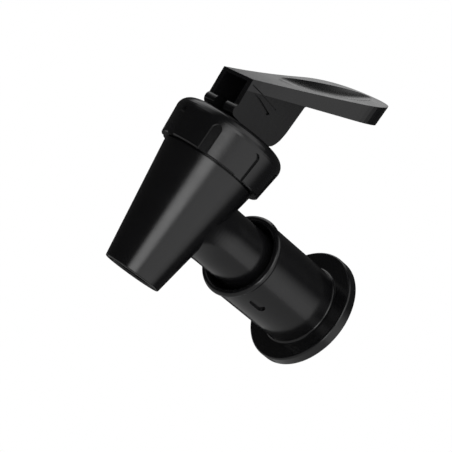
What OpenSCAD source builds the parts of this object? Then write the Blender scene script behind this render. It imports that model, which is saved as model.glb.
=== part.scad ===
/* [Placing] */

// Distance from the wall face of the flange to the axis of the spout, mm
reach = 58.5; // [54:0.5:66]
// Turn of the lever and its pin about the spout axis, degrees
lever_turn = 9.8; // [-30:0.2:30]

/* [Spout cone and neck] */

// Radius of the cone at its shoulder under the bonnet, mm
cone_top_r = 14.2; // [14:0.1:15]
// Radius of the cone at the outlet, mm
cone_tip_r = 8.7; // [8.4:0.1:9.6]
// Drop of the outlet below the barrel axis, mm
cone_drop = 22.9; // [20:0.1:28]
// Height of the bonnet's lower edge above the barrel axis, mm
shoulder_rise = 13.2; // [12.8:0.1:15]
// Open line between the cone's shoulder and the bonnet, mm
shoulder_gap = 0.4; // [0.2:0.1:0.8]
// Radius of the neck inside the bonnet, mm
neck_r = 13.4; // [13.2:0.1:13.8]
// Height of the neck above the bonnet's lower edge, mm
neck_rise = 7.2; // [6:0.1:7.6]
// Radius of the water chamber at the top of the neck, mm
chamber_top_r = 11; // [10.6:0.1:11.3]
// Radius of the water chamber at its floor, mm
chamber_floor_r = 9; // [8.6:0.1:9.3]
// Depth of the chamber floor below the barrel axis, mm
chamber_drop = 8; // [7.6:0.1:9]
// Height of the round valve seat above the chamber floor, mm
seat_rise = 1.2; // [0.8:0.1:1.6]
// Radius of the water hole through the valve seat, mm
seat_bore_r = 5.6; // [4.6:0.1:5.8]
// Wall of the raised valve seat, mm
seat_wall = 1.2; // [1:0.1:1.5]
// Radius of the outlet bore, mm
outlet_r = 7; // [6.2:0.1:7.2]
// Depth of the outlet bore above the tip, mm
outlet_depth = 11; // [8:0.5:12]

/* [Barrel] */

// Radius of the barrel, mm
barrel_r = 9.2; // [9:0.1:9.6]
// Radius of the waterway through the barrel, mm
waterway_r = 4.4; // [3.5:0.1:4.6]
// Radius of the arc that blends the barrel into the cone, mm
blend_r = 33; // [28:1:40]
// Inner radius of the threaded socket for the urn's spigot, mm
socket_r = 5.72; // [5.4:0.02:6]
// Length of the threaded socket, mm
socket_length = 13.4; // [10:0.2:15]
// Radius of the pocket that holds the socket's sealing washer, mm
pocket_r = 6.4; // [6.3:0.1:6.6]
// Thickness of the socket's sealing washer, mm
socket_washer_t = 1.6; // [1.2:0.1:2]

/* [Flange collar] */

// Radius of the flange, mm
flange_r = 17.9; // [17:0.1:20]
// Thickness of the flange, mm
flange_t = 3.5; // [3:0.1:4.5]
// Outer radius of the collar's sleeve, mm
sleeve_r = 12.3; // [12.2:0.1:13]
// Inner radius of the collar's sleeve, mm
sleeve_bore_r = 10.6; // [10.4:0.1:10.8]
// Length of the sleeve from the wall to the middle of its mouth, mm
sleeve_length = 31.2; // [26:0.2:36]
// Slant of the sleeve's mouth, degrees
mouth_slant = 9; // [0:0.5:12]
// Section radius of the rolled lip around the mouth, mm
lip_r = 1.1; // [0.9:0.05:1.2]
// Thickness of the web that the barrel's end bears on, mm
web_t = 2.6; // [2.2:0.1:3]
// Radius of the web's hole for the urn's spigot, mm
web_hole_r = 7; // [6.7:0.1:7.4]
// Length of the narrow seat that centres the barrel's end, mm
centring_length = 6.4; // [4:0.2:9]
// Thickness of the wall gasket, mm
gasket_t = 1.2; // [0.8:0.1:1.4]
// Inner radius of the wall gasket, mm
gasket_inner_r = 9.4; // [9:0.1:11]
// Outer radius of the wall gasket, mm
gasket_outer_r = 15.4; // [14:0.1:15.6]
// Distance of the sleeve's oval dimple from the wall, mm
dimple_offset = 23.1; // [20:0.1:26]
// Width of the sleeve's oval dimple, mm
dimple_w = 2.4; // [1.8:0.1:3]
// Length of the sleeve's oval dimple, mm
dimple_length = 5.8; // [4:0.1:7]
// Depth of the sleeve's oval dimple, mm
dimple_depth = 0.7; // [0.3:0.1:0.9]
// Place of the dimple around the sleeve, degrees below the horizontal
dimple_turn = 46; // [0:1:80]

/* [Bonnet] */

// Radius of the bonnet at its lower edge, mm
bonnet_edge_r = 16; // [15.8:0.1:16.4]
// Largest radius of the bonnet, under its shoulder, mm
bonnet_wide_r = 16.9; // [16.6:0.1:17.6]
// Height of the bonnet, mm
bonnet_h = 13; // [12.8:0.1:14]
// Radius of the arc at the bonnet's shoulder, mm
bonnet_round = 3.4; // [2.4:0.1:3.6]
// Rise of the bonnet's top from the shoulder to the flat middle, mm
bonnet_crown = 0.6; // [0.3:0.1:0.8]
// Thickness of the bonnet's top, mm
bonnet_top_t = 2.8; // [2.4:0.1:3]
// Number of grip flutes around the bonnet
flute_count = 8; // [6:1:10]
// Width of a grip flute, mm
flute_w = 3.1; // [2.4:0.1:3.6]
// Depth of a grip flute, mm
flute_depth = 0.75; // [0.4:0.05:1]
// Height of a grip flute's round end above the lower edge, mm
flute_h = 8.4; // [6:0.1:8.6]
// Turn of the first grip flute, degrees
flute_turn = -4; // [-20:1:20]

/* [Stem, spring and valve cup] */

// Radius of the stem, mm
stem_r = 3; // [2.6:0.1:3.1]
// Radius of the stem's collar under the spring, mm
stem_collar_r = 4.5; // [4:0.1:4.8]
// Height of the collar's top above the barrel axis, mm
collar_rise = 1.6; // [1:0.1:2]
// Thickness of the stem's collar, mm
collar_t = 2.1; // [1.6:0.1:2.4]
// Radius of the knob that the valve cup holds, mm
knob_r = 3.6; // [3:0.1:3.8]
// Thickness of the knob, mm
knob_t = 2; // [1.4:0.1:2.2]
// Radius of the stem between the collar and the knob, mm
knob_neck_r = 2.2; // [1.6:0.1:2.4]
// Height of the stem above the middle of the pin, mm
stem_head = 3; // [2.4:0.1:3.4]
// Outer radius of the guide boss around the stem, mm
boss_r = 4.3; // [4.1:0.1:4.35]
// Depth of the guide boss under the bonnet's ceiling, mm
boss_depth = 5.9; // [4:0.1:8]
// Mean radius of the coil spring, mm
spring_r = 5.05; // [5:0.05:5.2]
// Radius of the spring's wire, mm
wire_r = 0.45; // [0.35:0.05:0.5]
// Number of turns of the spring
spring_turns = 8; // [6:1:10]
// Thickness of the turning washer above the spring, mm
thrust_washer_t = 0.8; // [0.6:0.1:1]
// Outer radius of the turning washer, mm
thrust_washer_r = 6.6; // [6:0.1:7.4]
// Thickness of the spring's lower seat, mm
spring_seat_t = 0.8; // [0.6:0.1:1]
// Outer radius of the spring's lower seat, mm
spring_seat_r = 5.8; // [5.6:0.1:6]
// Thickness of the valve cup's clamped rim, mm
cup_rim_t = 1.3; // [1:0.1:1.6]
// Thickness of the valve cup's wall, mm
cup_wall = 0.9; // [0.7:0.1:1.1]
// Radius of the valve cup's plug, mm
plug_r = 6.9; // [6.8:0.1:7.1]
// Radius of the valve cup just under its rim, mm
cup_top_r = 9.7; // [9.3:0.1:9.9]

/* [Lever] */

// Half the width of the lever at its cheeks, mm
cheek_half_w = 6.1; // [5.9:0.1:6.6]
// Thickness of a cheek, mm
cheek_t = 1.75; // [1.5:0.05:1.9]
// Distance of the lever's top front edge ahead of the pin, mm
front_reach = 11.45; // [10.8:0.05:12]
// Height of the lever's top front edge above the bonnet, mm
front_rise = 11.2; // [10.8:0.1:13]
// Lean of the front edges, degrees
front_lean = 7; // [4:0.5:8]
// Slope of the paddle's top at the front, degrees
paddle_slope = 24.3; // [22:0.1:26]
// Rise of the paddle's end above the straight line of that slope, mm
paddle_curl = 2.1; // [1:0.1:3]
// Level length of the paddle, from its front edge to its tip, mm
paddle_length = 48.5; // [45:0.5:52]
// Level length of the paddle's round end, mm
tip_length = 15.5; // [13:0.5:18]
// Half the width of the paddle where its round end starts, mm
paddle_half_w = 12.8; // [11:0.1:14]
// Depth of the paddle's skirt at the front, mm
skirt_front = 3.6; // [3.2:0.1:4]
// Depth of the paddle's skirt at the round end, mm
skirt_end = 6.9; // [5:0.1:8]
// Thickness of the skirt's wall, mm
skirt_wall = 1.5; // [1.2:0.1:1.7]
// Thickness of the lever's top plate at the front, mm
plate_t = 1.1; // [1:0.1:1.4]
// Depth of the thumb dish in the paddle, mm
dish_depth = 1.6; // [1:0.1:1.8]
// Half the length of the thumb dish, mm
dish_half_length = 16.5; // [12:0.5:17]
// Half the width of the thumb dish, mm
dish_half_w = 9; // [7:0.1:9.5]
// Distance of the cheeks' rear edges behind the pin, mm
cheek_rear = 11.1; // [10.8:0.1:12]
// Height of the pin above the bonnet's top, mm
pin_rise = 5.5; // [5.3:0.1:6]
// Lift of the stem for one radian of tilt, mm
cam_base_r = 5; // [4.6:0.1:5.4]
// Radius of the lever pin, mm
pin_r = 1.5; // [1.3:0.05:1.7]
// Depth of the pin's blind seats in the cheeks, mm
pin_seat_depth = 1; // [0.8:0.05:1.1]
// Radius of the round feet at the cheeks' front corners, mm
foot_r = 1.75; // [1.5:0.05:1.9]
// Distance of the feet ahead of the pin, mm
foot_reach = 9.3; // [9:0.05:9.6]
// Length of the feet inside the cheeks, mm
foot_in = 2.3; // [1.5:0.1:2.4]

/* [Fits] */

// Radial clearance of the turning and sliding fits, mm
running_gap = 0.06; // [0.03:0.01:0.09]
// Clearance between pieces that seat on each other, mm
seat_gap = 0.05; // [0.02:0.01:0.08]
// Gap between the lever's cams and the bonnet, mm
cam_gap = 0.3; // [0.2:0.05:0.4]

/* [Hidden] */

$fn = 96;
cut = 0.5;

// Levels from the outlet up
tip_z = -cone_drop;
floor_z = -chamber_drop;
seat_z = floor_z + seat_rise;
bonnet_z = shoulder_rise;
shoulder_z = bonnet_z - shoulder_gap;
neck_z = bonnet_z + neck_rise;
rim_z = neck_z + cup_rim_t;
bonnet_top_z = bonnet_z + bonnet_h;
ceiling_z = bonnet_top_z - bonnet_top_t;
pin_z = bonnet_top_z + pin_rise;
collar_z = collar_rise;
collar_foot_z = collar_z - collar_t;
knob_z = seat_z + 2.3;
spring_low_z = collar_z + spring_seat_t;
washer_z = ceiling_z - seat_gap;
spring_high_z = washer_z - thrust_washer_t;
stem_top_z = pin_z + stem_head;

// Places along the barrel, counted from the wall
barrel_end = web_t + seat_gap;
socket_floor = barrel_end + socket_length;
pocket_floor = socket_floor + socket_washer_t + seat_gap;

// The lever's lines, seen from the side
top_front_z = bonnet_top_z + front_rise;
slope_rise = tan(paddle_slope);
flare_length = paddle_length - tip_length;
flare_power = 1.25;
flare_gain = paddle_half_w - cheek_half_w;
end_power = 2.4;
well_r = thrust_washer_r + 1.4;
skirt_inner_r = neck_r + seat_gap;

function cone_r(z) = cone_tip_r + (cone_top_r - cone_tip_r) * (z - tip_z) / (shoulder_z - tip_z);
function paddle_top(y) = let (t = y + front_reach)
  top_front_z + slope_rise * t + paddle_curl * t * t / (paddle_length * paddle_length);
function skirt_low(y) = let (low = top_front_z - skirt_front, end = paddle_top(paddle_length - front_reach) - skirt_end)
  low + (end - low) * (y + front_reach) / paddle_length;
function arc(cx, cy, r, from, to, steps) =
  [for (i = [0:steps]) [cx + r * cos(from + (to - from) * i / steps), cy + r * sin(from + (to - from) * i / steps)]];

// The cam's rolling edge for a tilt of a radians, as distance behind and height above the pin
function cam_point(a) = let (h = pin_rise - cam_gap + cam_base_r * a, d = a * 180 / PI)
  [h * sin(d) + cam_base_r * cos(d), pin_z - h * cos(d) + cam_base_r * sin(d)];

module on_spout_axis() {
  translate([0, -reach, 0])
    children();
}

module on_lever() {
  on_spout_axis()
    rotate([0, 0, lever_turn])
      children();
}

// Turns a solid drawn along Z so that it runs from the wall forwards along the barrel
module on_barrel() {
  rotate([90, 0, 0])
    children();
}

// A side view drawn with distance behind the pin and height, made w wide across the lever
module side_solid(x, w) {
  translate([x, 0, 0])
    rotate([90, 0, 90])
      linear_extrude(height = w)
        children();
}

module ring(r_out, r_in, h) {
  difference() {
    cylinder(r = r_out, h = h);
    translate([0, 0, -cut])
      cylinder(r = r_in, h = h + 2 * cut);
  }
}

// Cone, neck and barrel, with the chamber, the valve seat and the waterways cut out
module body() {
  color("#1b1b1d")
    difference() {
      union() {
        on_spout_axis()
          body_outside();
        on_barrel()
          translate([0, 0, barrel_end])
            cylinder(r = barrel_r, h = reach - barrel_end);
        barrel_blend();
      }
      on_spout_axis()
        chamber_space();
      on_barrel()
        barrel_space();
    }
}

module body_outside() {
  lip = 0.5;
  rotate_extrude()
    polygon(concat(
      [[0, tip_z], [cone_tip_r - lip, tip_z]],
      arc(cone_tip_r - lip, tip_z + lip, lip, -90, 0, 4),
      [[cone_top_r, shoulder_z], [neck_r, shoulder_z], [neck_r, neck_z - 0.4], [neck_r - 0.4, neck_z], [0, neck_z]]));
}

// Concave arc that carries the barrel's outline out to the cone's flanks
module barrel_blend() {
  run = 11;
  start = reach - 16;
  rotate([90, 0, 0])
    rotate_extrude()
      polygon(concat(
        [[0, start], [barrel_r - 0.3, start]],
        [for (i = [0:8]) let (s = run * i / 8) [barrel_r + blend_r - sqrt(blend_r * blend_r - s * s), start + s]],
        [[0, start + run]]));
}

module chamber_space() {
  rotate_extrude()
    polygon([
      [0, tip_z - cut], [outlet_r + 0.3, tip_z - cut], [outlet_r + 0.3, tip_z], [outlet_r, tip_z + 0.5],
      [outlet_r, tip_z + outlet_depth], [seat_bore_r, tip_z + outlet_depth + 1.4],
      [seat_bore_r, seat_z - 0.3], [seat_bore_r + 0.3, seat_z],
      [seat_bore_r + seat_wall - 0.3, seat_z], [seat_bore_r + seat_wall, seat_z - 0.4],
      [seat_bore_r + seat_wall, floor_z], [chamber_floor_r - 1, floor_z], [chamber_floor_r, floor_z + 1],
      [chamber_top_r, neck_z], [chamber_top_r, neck_z + cut], [0, neck_z + cut]]);
}

module barrel_space() {
  translate([0, 0, barrel_end - cut])
    cylinder(r = socket_r, h = socket_length + cut);
  translate([0, 0, socket_floor])
    cylinder(r = pocket_r, h = pocket_floor - socket_floor);
  translate([0, 0, socket_floor])
    cylinder(r = waterway_r, h = reach - socket_floor);
}

// Sleeve over the barrel, with its slanted rolled lip, and the flange against the wall
module flange_collar() {
  color("#202022")
    difference() {
      union() {
        difference() {
          on_barrel()
            collar_outside();
          mouth_cut();
        }
        on_mouth()
          rotate([90, 0, 0])
            rotate_extrude()
              translate([sleeve_bore_r + lip_r, 0])
                circle(r = lip_r, $fn = 32);
      }
      on_barrel()
        collar_space();
      dimple();
    }
}

module collar_outside() {
  edge = 0.6;
  inner = 0.7;
  rotate_extrude()
    polygon(concat(
      [[0, 0], [flange_r - 0.4, 0], [flange_r, 0.4]],
      arc(flange_r - edge, flange_t - edge, edge, 0, 90, 4),
      arc(sleeve_r + inner, flange_t + inner, inner, 270, 180, 4),
      [[sleeve_r, sleeve_length + 4], [0, sleeve_length + 4]]));
}

module on_mouth() {
  translate([0, -sleeve_length, 0])
    rotate([0, 0, mouth_slant])
      children();
}

module mouth_cut() {
  on_mouth()
    translate([-2 * sleeve_r, -4 * sleeve_r, -2 * sleeve_r])
      cube([4 * sleeve_r, 4 * sleeve_r, 4 * sleeve_r]);
}

module collar_space() {
  rotate_extrude()
    polygon([
      [0, -cut], [web_hole_r, -cut], [web_hole_r, web_t], [barrel_r + running_gap, web_t],
      [barrel_r + running_gap, web_t + centring_length - 0.8], [sleeve_bore_r, web_t + centring_length],
      [sleeve_bore_r, sleeve_length + 6], [0, sleeve_length + 6]]);
  translate([0, 0, -cut])
    ring(gasket_outer_r + seat_gap, gasket_inner_r - seat_gap, gasket_t + cut);
}

module dimple() {
  run = dimple_length - dimple_w;
  rotate([0, dimple_turn, 0])
    translate([sleeve_r - dimple_depth, -dimple_offset - run / 2, 0])
      rotate([0, 90, 0]) {
        cylinder(d = dimple_w, h = 2);
        translate([0, run, 0])
          cylinder(d = dimple_w, h = 2);
        translate([-dimple_w / 2, 0, 0])
          cube([dimple_w, run, 2]);
      }
}

module wall_gasket() {
  color("#3a3a3c")
    on_barrel()
      ring(gasket_outer_r, gasket_inner_r, gasket_t);
}

module socket_washer() {
  color("#8a3b2e")
    on_barrel()
      translate([0, 0, socket_floor])
        ring(pocket_r - seat_gap, waterway_r, socket_washer_t);
}

// Screw cap with grip flutes, a guide boss for the stem and a ledge that clamps the valve cup
module bonnet() {
  color("#232326")
    on_spout_axis()
      difference() {
        bonnet_outside();
        bonnet_space();
        for (k = [0:flute_count - 1])
          rotate([0, 0, flute_turn + k * 360 / flute_count])
            flute();
      }
}

module bonnet_outside() {
  arc_z = bonnet_top_z - bonnet_crown - bonnet_round;
  rotate_extrude()
    polygon(concat(
      [[0, bonnet_z], [bonnet_edge_r - 0.3, bonnet_z], [bonnet_edge_r, bonnet_z + 0.3]],
      arc(bonnet_wide_r - bonnet_round, arc_z, bonnet_round, 0, 84, 8),
      [[8, bonnet_top_z], [0, bonnet_top_z]]));
}

module bonnet_space() {
  bottom = bonnet_z - cut;
  rotate_extrude()
    polygon([
      [boss_r, ceiling_z], [boss_r, ceiling_z - boss_depth], [0, ceiling_z - boss_depth],
      [0, bottom], [skirt_inner_r + 0.4, bottom], [skirt_inner_r + 0.4, bonnet_z + 0.2],
      [skirt_inner_r, bonnet_z + 0.6], [skirt_inner_r, rim_z], [well_r, rim_z], [well_r, ceiling_z]]);
  translate([0, 0, ceiling_z - boss_depth - cut])
    cylinder(r = stem_r + running_gap, h = boss_depth + bonnet_top_t + 2 * cut);
}

module flute() {
  lean = atan((bonnet_wide_r - bonnet_edge_r) / (bonnet_h - bonnet_round));
  end_r = flute_w / 2;
  translate([bonnet_edge_r - flute_depth, 0, bonnet_z])
    rotate([0, lean, 0])
      rotate([0, 90, 0]) {
        translate([-(flute_h - end_r), 0, 0])
          cylinder(r = end_r, h = 4, $fn = 48);
        translate([-(flute_h - end_r), -end_r, 0])
          cube([flute_h, flute_w, 4]);
      }
}

// Soft cup whose rim is clamped under the bonnet and whose plug closes the valve seat
module seat_cup() {
  plug_top = knob_z + knob_t + 1;
  color("#d8d4c8")
    on_spout_axis()
      rotate_extrude()
        polygon([
          [0, seat_z + seat_gap], [plug_r - 0.6, seat_z + seat_gap], [plug_r, seat_z + 0.7], [plug_r, plug_top],
          [plug_r + 0.6, plug_top + 4], [cup_top_r, neck_z - 0.8], [cup_top_r + 0.4, neck_z + seat_gap],
          [neck_r - 0.4, neck_z + seat_gap], [neck_r - 0.4, rim_z - seat_gap],
          [cup_top_r - cup_wall, rim_z - seat_gap], [cup_top_r - cup_wall, neck_z - 0.8],
          [plug_r + 0.6 - cup_wall, plug_top + 4], [plug_r - cup_wall, plug_top],
          [knob_neck_r + seat_gap, plug_top - 0.6],
          [knob_neck_r + seat_gap, knob_z + knob_t + seat_gap], [knob_r + seat_gap, knob_z + knob_t + seat_gap],
          [knob_r + seat_gap, knob_z - seat_gap], [0, knob_z - seat_gap]]);
}

// Slip washer that turns with the spring, the stem and the lever
module thrust_washer() {
  color("#e9e6dc")
    on_spout_axis()
      translate([0, 0, spring_high_z])
        ring(thrust_washer_r, boss_r + running_gap, thrust_washer_t);
}

// Coil of round wire with a closed turn at each end
module spring() {
  steps = 20;
  sides = 8;
  count = spring_turns * steps;
  low = spring_low_z + wire_r + seat_gap;
  high = spring_high_z - wire_r - seat_gap;
  dead = (2 * wire_r + 0.1) / (high - low);
  rise = (1 - 2 * dead) / (spring_turns - 2);
  function level(t) = t < 1 ? dead * t
    : t > spring_turns - 1 ? 1 - dead * (spring_turns - t)
    : dead + rise * (t - 1);
  points = [for (i = [0:count]) for (j = [0:sides - 1])
    let (t = i / steps, a = 360 * t, b = 360 * j / sides, r = spring_r + wire_r * cos(b))
      [r * cos(a), r * sin(a), low + (high - low) * level(t) + wire_r * sin(b)]];
  walls = [for (i = [0:count - 1]) for (j = [0:sides - 1])
    let (k = (j + 1) % sides)
      [i * sides + j, (i + 1) * sides + j, (i + 1) * sides + k, i * sides + k]];
  first = [[for (j = [0:sides - 1]) j]];
  last = [[for (j = [sides - 1:-1:0]) count * sides + j]];
  color("#c9ccd0")
    on_spout_axis()
      polyhedron(points = points, faces = concat(walls, first, last), convexity = 10);
}

module spring_seat() {
  color("#e9e6dc")
    on_spout_axis()
      translate([0, 0, collar_z + seat_gap])
        ring(spring_seat_r, stem_r + running_gap, spring_seat_t - seat_gap);
}

// Round stem with a knob for the valve cup, a collar for the spring and an eye for the pin
module stem() {
  color("#202022")
    on_lever()
      difference() {
        rotate_extrude()
          polygon([
            [0, knob_z], [knob_r, knob_z], [knob_r, knob_z + knob_t], [knob_neck_r, knob_z + knob_t],
            [knob_neck_r, collar_foot_z], [stem_collar_r, collar_foot_z], [stem_collar_r, collar_z],
            [stem_r, collar_z], [stem_r, stem_top_z - 0.6], [stem_r - 0.6, stem_top_z], [0, stem_top_z]]);
        translate([-2 * stem_r, 0, pin_z])
          rotate([0, 90, 0])
            cylinder(r = pin_r + running_gap, h = 4 * stem_r);
      }
}

module lever_pin() {
  half = cheek_half_w - cheek_t + pin_seat_depth - 0.1;
  color("#202022")
    on_lever()
      translate([-half, 0, pin_z])
        rotate([0, 90, 0])
          cylinder(r = pin_r, h = 2 * half);
}

// Paddle with a thumb dish and a skirt, on two cheeks with rolling cams and front feet
module lever() {
  color("#1e1e20")
    on_lever()
      difference() {
        union() {
          paddle_shell();
          for (side = [-1, 1])
            cheek(side);
        }
        thumb_dish();
        for (side = [-1, 1])
          cheek_marks(side);
        translate([0, 0, pin_z])
          rotate([0, 90, 0])
            translate([0, 0, -(cheek_half_w - cheek_t + pin_seat_depth)])
              cylinder(r = pin_r + running_gap, h = 2 * (cheek_half_w - cheek_t + pin_seat_depth), $fn = 48);
      }
}

// Half the paddle's width t behind its front edge: a growing flare, then a round end that keeps its slope
function flare_half(t) = cheek_half_w + flare_gain * pow(t / flare_length, flare_power);
function end_half(u, length) = (paddle_half_w + flare_gain * flare_power / flare_length * u)
  * pow(1 - pow(u / length, end_power), 1 / end_power);

// Plan view of the paddle, drawn across and behind the pin, inset on all sides but the front
module paddle_plan(inset) {
  length = tip_length - inset;
  flare = [for (i = [0:10]) let (t = flare_length * i / 10) [flare_half(t) - inset, t - front_reach]];
  tip = [for (i = [1:15]) let (u = length * sin(90 * i / 16))
    [end_half(u, length) - inset * cos(90 * i / 16), flare_length + u - front_reach]];
  half = concat(flare, tip);
  end = [[0, flare_length + length - front_reach]];
  mirrored = [for (i = [len(half) - 1:-1:0]) [-half[i][0], half[i][1]]];
  polygon(concat(half, end, mirrored));
}

// Side view between the paddle's top and its skirt's lower edge, with the top lowered as stated
module paddle_band(top_cut, dish_step, low_cut) {
  end = paddle_length - front_reach + 1;
  start = -front_reach - 1;
  dish_start = 4;
  step = function(y) top_cut + (y > dish_start ? dish_step : 0);
  side_solid(-2 * paddle_half_w, 4 * paddle_half_w)
    polygon(concat(
      [for (i = [0:12]) let (y = start + (end - start) * i / 12) [y, paddle_top(y) - step(y)]],
      [[end, skirt_low(end) - low_cut], [start, skirt_low(start) - low_cut]]));
}

module paddle_shell() {
  low = bonnet_top_z;
  high = paddle_top(paddle_length);
  difference() {
    intersection() {
      translate([0, 0, low])
        linear_extrude(height = high - low)
          paddle_plan(0);
      paddle_band(0, 0, 0);
      front_side_limit();
    }
    intersection() {
      translate([0, 0, low])
        linear_extrude(height = high - low)
          paddle_plan(skirt_wall);
      paddle_band(plate_t, dish_depth + 0.3, 3);
    }
  }
}

// Everything behind the slightly leaning front edges
module front_side_limit() {
  lean = tan(front_lean);
  side_solid(-2 * paddle_half_w, 4 * paddle_half_w)
    polygon([
      [-front_reach, top_front_z], [-front_reach, top_front_z + 60], [80, top_front_z + 60],
      [80, bonnet_top_z], [-front_reach + lean * front_rise, bonnet_top_z]]);
}

module cheek(side) {
  lean = tan(front_lean);
  foot_z = bonnet_top_z + cam_gap + foot_r;
  rear_top = 18;
  x = side > 0 ? cheek_half_w - cheek_t : -cheek_half_w;
  side_solid(x, cheek_t)
    polygon(concat(
      [[-front_reach, top_front_z]],
      [[-front_reach + lean * (top_front_z - foot_z), foot_z], [-foot_reach, bonnet_top_z + cam_gap]],
      [for (i = [0:10]) cam_point(0.7 * i / 10)],
      [[10.2, bonnet_top_z + 3.3], [10.75, bonnet_top_z + 4.8], [cheek_rear, bonnet_top_z + 7.4],
       [cheek_rear, skirt_low(cheek_rear) - 0.8], [cheek_rear + 1, skirt_low(cheek_rear + 1)],
       [rear_top, skirt_low(rear_top) + 1.4], [rear_top, paddle_top(rear_top) - plate_t - 0.4]]));
  foot_x = side > 0 ? cheek_half_w - cheek_t - foot_in : -cheek_half_w;
  translate([foot_x, -foot_reach, foot_z])
    rotate([0, 90, 0])
      cylinder(r = foot_r, h = cheek_t + foot_in, $fn = 48);
}

// Shallow wedge and fine line pressed into the outer face of each cheek
module cheek_marks(side) {
  deep = 0.6;
  fine = 0.3;
  base = bonnet_top_z - 13;
  x = side > 0 ? cheek_half_w - deep : -cheek_half_w - 1;
  side_solid(x, deep + 1)
    polygon([[-8.3, base + 21.8], [-5.4, base + 21.1], [-2, base + 20.4], [0.6, base + 20],
             [1.4, base + 20.8], [-2, base + 21.4], [-5.4, base + 21.9]]);
  x2 = side > 0 ? cheek_half_w - fine : -cheek_half_w - 1;
  side_solid(x2, fine + 1)
    polygon([[-10.6, base + 22.9], [2.4, base + 22.7], [2.4, base + 23], [-10.6, base + 23.2]]);
}

// Barrel-shaped cut that leaves an oval dish, curved along and across the paddle
module thumb_dish() {
  along_r = dish_half_length * dish_half_length / (2 * dish_depth);
  across_r = dish_half_w * dish_half_w / (2 * dish_depth);
  centre = 19.5;
  reach_down = along_r + dish_depth;
  translate([0, centre, paddle_top(centre)])
    rotate([paddle_slope + 2, 0, 0])
      translate([0, 0, along_r - dish_depth / 2])
        rotate([0, 90, 0])
          rotate_extrude($fn = 180)
            intersection() {
              translate([along_r + dish_depth / 2 - across_r, 0])
                circle(r = across_r, $fn = 120);
              translate([along_r - 3, -dish_half_w - 1])
                square([reach_down, 2 * dish_half_w + 2]);
            }
}

body();
flange_collar();
wall_gasket();
socket_washer();
bonnet();
seat_cup();
thrust_washer();
spring();
spring_seat();
stem();
lever_pin();
lever();
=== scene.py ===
"""Dresses the coffee urn tap: a finish for every piece, the studio and the camera."""
import logging
import math
from dataclasses import dataclass

import bpy
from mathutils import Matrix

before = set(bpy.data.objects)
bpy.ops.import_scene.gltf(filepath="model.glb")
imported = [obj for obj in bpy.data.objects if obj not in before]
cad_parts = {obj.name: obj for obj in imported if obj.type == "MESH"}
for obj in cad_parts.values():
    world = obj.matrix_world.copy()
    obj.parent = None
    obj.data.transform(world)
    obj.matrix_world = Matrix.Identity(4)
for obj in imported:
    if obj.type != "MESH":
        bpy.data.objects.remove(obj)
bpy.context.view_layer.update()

LOG = logging.getLogger("tap")


# Finishes


@dataclass(frozen=True)
class MouldedPlastic:
    """Moulded plastic: a soft orange peel, a faint haze and small changes of gloss over the surface."""

    name: str
    colour: tuple[float, float, float]
    haze: tuple[float, float, float]
    roughness: float
    roughness_spread: float
    peel_scale: float
    peel_height: float
    grain_scale: float
    grain_height: float

    def make(self) -> bpy.types.Material:
        """Builds the material: noise on Object coordinates drives colour, roughness and bump."""
        material = bpy.data.materials.new(self.name)
        material.use_nodes = True
        tree = material.node_tree
        nodes, links = tree.nodes, tree.links
        shader = nodes["Principled BSDF"]
        shader.inputs["IOR"].default_value = 1.5
        place = nodes.new("ShaderNodeTexCoord")

        def noise(scale: float, detail: float) -> bpy.types.Node:
            """Adds a noise texture on Object coordinates."""
            node = nodes.new("ShaderNodeTexNoise")
            node.inputs["Scale"].default_value = scale
            node.inputs["Detail"].default_value = detail
            links.new(place.outputs["Object"], node.inputs["Vector"])
            return node

        cloud = noise(90.0, 3.0)
        mix = nodes.new("ShaderNodeMix")
        mix.data_type = "RGBA"
        mix.inputs["A"].default_value = (*self.colour, 1.0)
        mix.inputs["B"].default_value = (*self.haze, 1.0)
        links.new(cloud.outputs["Fac"], mix.inputs["Factor"])
        links.new(mix.outputs["Result"], shader.inputs["Base Color"])

        spread = nodes.new("ShaderNodeMapRange")
        spread.inputs["To Min"].default_value = self.roughness - self.roughness_spread
        spread.inputs["To Max"].default_value = self.roughness + self.roughness_spread
        links.new(noise(260.0, 4.0).outputs["Fac"], spread.inputs["Value"])
        links.new(spread.outputs["Result"], shader.inputs["Roughness"])

        peel = nodes.new("ShaderNodeBump")
        peel.inputs["Strength"].default_value = 1.0
        peel.inputs["Distance"].default_value = self.peel_height
        links.new(noise(self.peel_scale, 2.0).outputs["Fac"], peel.inputs["Height"])
        grain = nodes.new("ShaderNodeBump")
        grain.inputs["Strength"].default_value = 1.0
        grain.inputs["Distance"].default_value = self.grain_height
        links.new(noise(self.grain_scale, 2.0).outputs["Fac"], grain.inputs["Height"])
        links.new(peel.outputs["Normal"], grain.inputs["Normal"])
        links.new(grain.outputs["Normal"], shader.inputs["Normal"])
        return material


BLACK_GLOSS = MouldedPlastic(
    name="black_gloss_plastic",
    colour=(0.0035, 0.0035, 0.004),
    haze=(0.007, 0.007, 0.0075),
    roughness=0.2,
    roughness_spread=0.06,
    peel_scale=700.0,
    peel_height=0.000012,
    grain_scale=4200.0,
    grain_height=0.0000025,
)
WHITE_PLASTIC = MouldedPlastic(
    name="white_acetal",
    colour=(0.78, 0.77, 0.73),
    haze=(0.84, 0.83, 0.8),
    roughness=0.42,
    roughness_spread=0.06,
    peel_scale=900.0,
    peel_height=0.00001,
    grain_scale=5000.0,
    grain_height=0.000004,
)
SILICONE = MouldedPlastic(
    name="milky_silicone",
    colour=(0.7, 0.68, 0.62),
    haze=(0.77, 0.75, 0.7),
    roughness=0.55,
    roughness_spread=0.08,
    peel_scale=600.0,
    peel_height=0.00002,
    grain_scale=4000.0,
    grain_height=0.000006,
)
BLACK_RUBBER = MouldedPlastic(
    name="black_rubber",
    colour=(0.018, 0.018, 0.019),
    haze=(0.03, 0.03, 0.03),
    roughness=0.68,
    roughness_spread=0.08,
    peel_scale=1200.0,
    peel_height=0.00002,
    grain_scale=6000.0,
    grain_height=0.000008,
)
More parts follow.
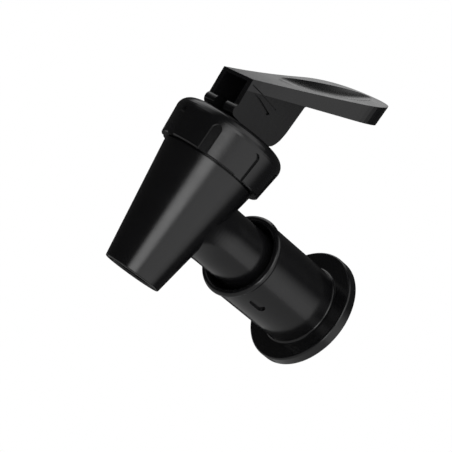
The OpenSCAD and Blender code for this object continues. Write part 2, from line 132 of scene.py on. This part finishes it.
SPRING_STEEL = MouldedPlastic(
    name="spring_steel",
    colour=(0.5, 0.51, 0.52),
    haze=(0.62, 0.62, 0.63),
    roughness=0.28,
    roughness_spread=0.06,
    peel_scale=2500.0,
    peel_height=0.000004,
    grain_scale=9000.0,
    grain_height=0.000002,
)

NODE_FINISH = {
    "body": BLACK_GLOSS,
    "flange_collar": BLACK_GLOSS,
    "bonnet": BLACK_GLOSS,
    "lever": BLACK_GLOSS,
    "lever_pin": BLACK_GLOSS,
    "stem": BLACK_GLOSS,
    "wall_gasket": BLACK_RUBBER,
    "socket_washer": BLACK_RUBBER,
    "seat_cup": SILICONE,
    "thrust_washer": WHITE_PLASTIC,
    "spring_seat": WHITE_PLASTIC,
    "spring": SPRING_STEEL,
}


def dress_nodes() -> None:
    """Gives every carried-over CAD node its finish."""
    made = {}
    for name, finish in NODE_FINISH.items():
        if finish.name not in made:
            made[finish.name] = finish.make()
            if finish is SPRING_STEEL:
                made[finish.name].node_tree.nodes["Principled BSDF"].inputs["Metallic"].default_value = 1.0
        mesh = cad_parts[name].data
        mesh.materials.clear()
        mesh.materials.append(made[finish.name])
        LOG.info("dressed %s in %s", name, finish.name)


@dataclass(frozen=True)
class Panel:
    """A soft glowing area of the room, round about a direction from the tap."""

    azimuth: float
    elevation: float
    inner: float
    outer: float
    level: float

    def add(self, nodes: bpy.types.Nodes, links: bpy.types.NodeLinks, way: bpy.types.NodeSocket,
            below: bpy.types.NodeSocket) -> bpy.types.NodeSocket:
        """Adds this panel's glow to the room's level.

        Args:
            nodes: Nodes of the world.
            links: Links of the world.
            way: Socket with the direction looked at.
            below: Socket with the level so far.

        Returns:
            The socket with the new level.
        """
        a, e = math.radians(self.azimuth), math.radians(self.elevation)
        dot = nodes.new("ShaderNodeVectorMath")
        dot.operation = "DOT_PRODUCT"
        links.new(way, dot.inputs[0])
        dot.inputs[1].default_value = (math.cos(a) * math.cos(e), math.sin(a) * math.cos(e), math.sin(e))
        fade = nodes.new("ShaderNodeMapRange")
        fade.interpolation_type = "SMOOTHSTEP"
        links.new(dot.outputs["Value"], fade.inputs["Value"])
        fade.inputs["From Min"].default_value = math.cos(math.radians(self.outer))
        fade.inputs["From Max"].default_value = math.cos(math.radians(self.inner))
        fade.inputs["To Min"].default_value = 0.0
        fade.inputs["To Max"].default_value = self.level
        total = nodes.new("ShaderNodeMath")
        links.new(fade.outputs["Result"], total.inputs[0])
        links.new(below, total.inputs[1])
        return total.outputs["Value"]


@dataclass
class Studio:
    """Floor, world light and camera."""

    floor_level: float = -0.6
    floor_glow: float = 0.92
    floor_size: float = 2.4
    room_level: float = 0.035
    panels: tuple[Panel, ...] = (
        Panel(azimuth=-42.0, elevation=-16.0, inner=2.0, outer=22.0, level=3.6),
        Panel(azimuth=-36.0, elevation=26.0, inner=4.0, outer=24.0, level=2.2),
        Panel(azimuth=14.0, elevation=-8.0, inner=18.0, outer=56.0, level=0.95),
        Panel(azimuth=150.0, elevation=30.0, inner=1.0, outer=8.0, level=0.8),
        Panel(azimuth=-120.0, elevation=38.0, inner=8.0, outer=24.0, level=0.5),
        Panel(azimuth=10.0, elevation=62.0, inner=8.0, outer=34.0, level=1.0),
        Panel(azimuth=-165.0, elevation=50.0, inner=8.0, outer=26.0, level=1.2),
        Panel(azimuth=175.0, elevation=-38.0, inner=8.0, outer=26.0, level=0.6),
    )
    camera_place: tuple[float, float, float] = (0.369682, -0.320229, -0.050481)
    camera_turn: tuple[float, float, float] = (1.71372, -0.61512, 0.842418)
    lens: float = 133.596

    def build(self) -> None:
        """Builds the floor, the world and the camera."""
        self.floor()
        self.world()
        self.camera()

    def floor(self) -> None:
        """A wide pale floor under the tap."""
        half = self.floor_size / 2
        mesh = bpy.data.meshes.new("floor")
        z = self.floor_level
        mesh.from_pydata([(-half, -half, z), (half, -half, z), (half, half, z), (-half, half, z)], [], [(0, 1, 2, 3)])
        floor = bpy.data.objects.new("floor", mesh)
        bpy.context.scene.collection.objects.link(floor)
        material = bpy.data.materials.new("floor_paint")
        material.use_nodes = True
        shader = material.node_tree.nodes["Principled BSDF"]
        shader.inputs["Base Color"].default_value = (0.95, 0.95, 0.95, 1.0)
        shader.inputs["Roughness"].default_value = 0.9
        shader.inputs["Emission Color"].default_value = (1.0, 1.0, 1.0, 1.0)
        path = material.node_tree.nodes.new("ShaderNodeLightPath")
        glow = material.node_tree.nodes.new("ShaderNodeMath")
        glow.operation = "MULTIPLY"
        glow.inputs[1].default_value = self.floor_glow
        material.node_tree.links.new(path.outputs["Is Camera Ray"], glow.inputs[0])
        material.node_tree.links.new(glow.outputs["Value"], shader.inputs["Emission Strength"])
        mesh.materials.append(material)

    def world(self) -> None:
        """White for the camera; for everything else a dim room with soft glowing panels, placed by direction."""
        world = bpy.data.worlds.new("studio")
        bpy.context.scene.world = world
        world.use_nodes = True
        nodes, links = world.node_tree.nodes, world.node_tree.links
        background = nodes["Background"]
        place = nodes.new("ShaderNodeTexCoord")
        total = nodes.new("ShaderNodeValue")
        total.outputs[0].default_value = self.room_level
        level = total.outputs[0]
        for panel in self.panels:
            level = panel.add(nodes, links, place.outputs["Generated"], level)
        links.new(level, background.inputs["Strength"])
        backdrop = nodes.new("ShaderNodeBackground")
        backdrop.inputs["Color"].default_value = (1.0, 1.0, 1.0, 1.0)
        background.inputs["Color"].default_value = (1.0, 1.0, 1.0, 1.0)
        path = nodes.new("ShaderNodeLightPath")
        choose = nodes.new("ShaderNodeMixShader")
        links.new(path.outputs["Is Camera Ray"], choose.inputs["Fac"])
        links.new(background.outputs["Background"], choose.inputs[1])
        links.new(backdrop.outputs["Background"], choose.inputs[2])
        links.new(choose.outputs["Shader"], nodes["World Output"].inputs["Surface"])

    def camera(self) -> None:
        """The camera at the photograph's viewing angle, for a square picture."""
        data = bpy.data.cameras.new("camera")
        data.sensor_width = 36.0
        data.lens = self.lens
        data.clip_end = 20.0
        camera = bpy.data.objects.new("camera", data)
        camera.location = self.camera_place
        camera.rotation_euler = self.camera_turn
        bpy.context.scene.collection.objects.link(camera)
        bpy.context.scene.camera = camera
        bpy.context.scene.view_settings.view_transform = "Standard"


def main() -> None:
    """Builds the dressed tap in order."""
    logging.basicConfig(level=logging.INFO, format="%(name)s: %(message)s")
    dress_nodes()
    Studio().build()


if __name__ == "__main__":
    main()
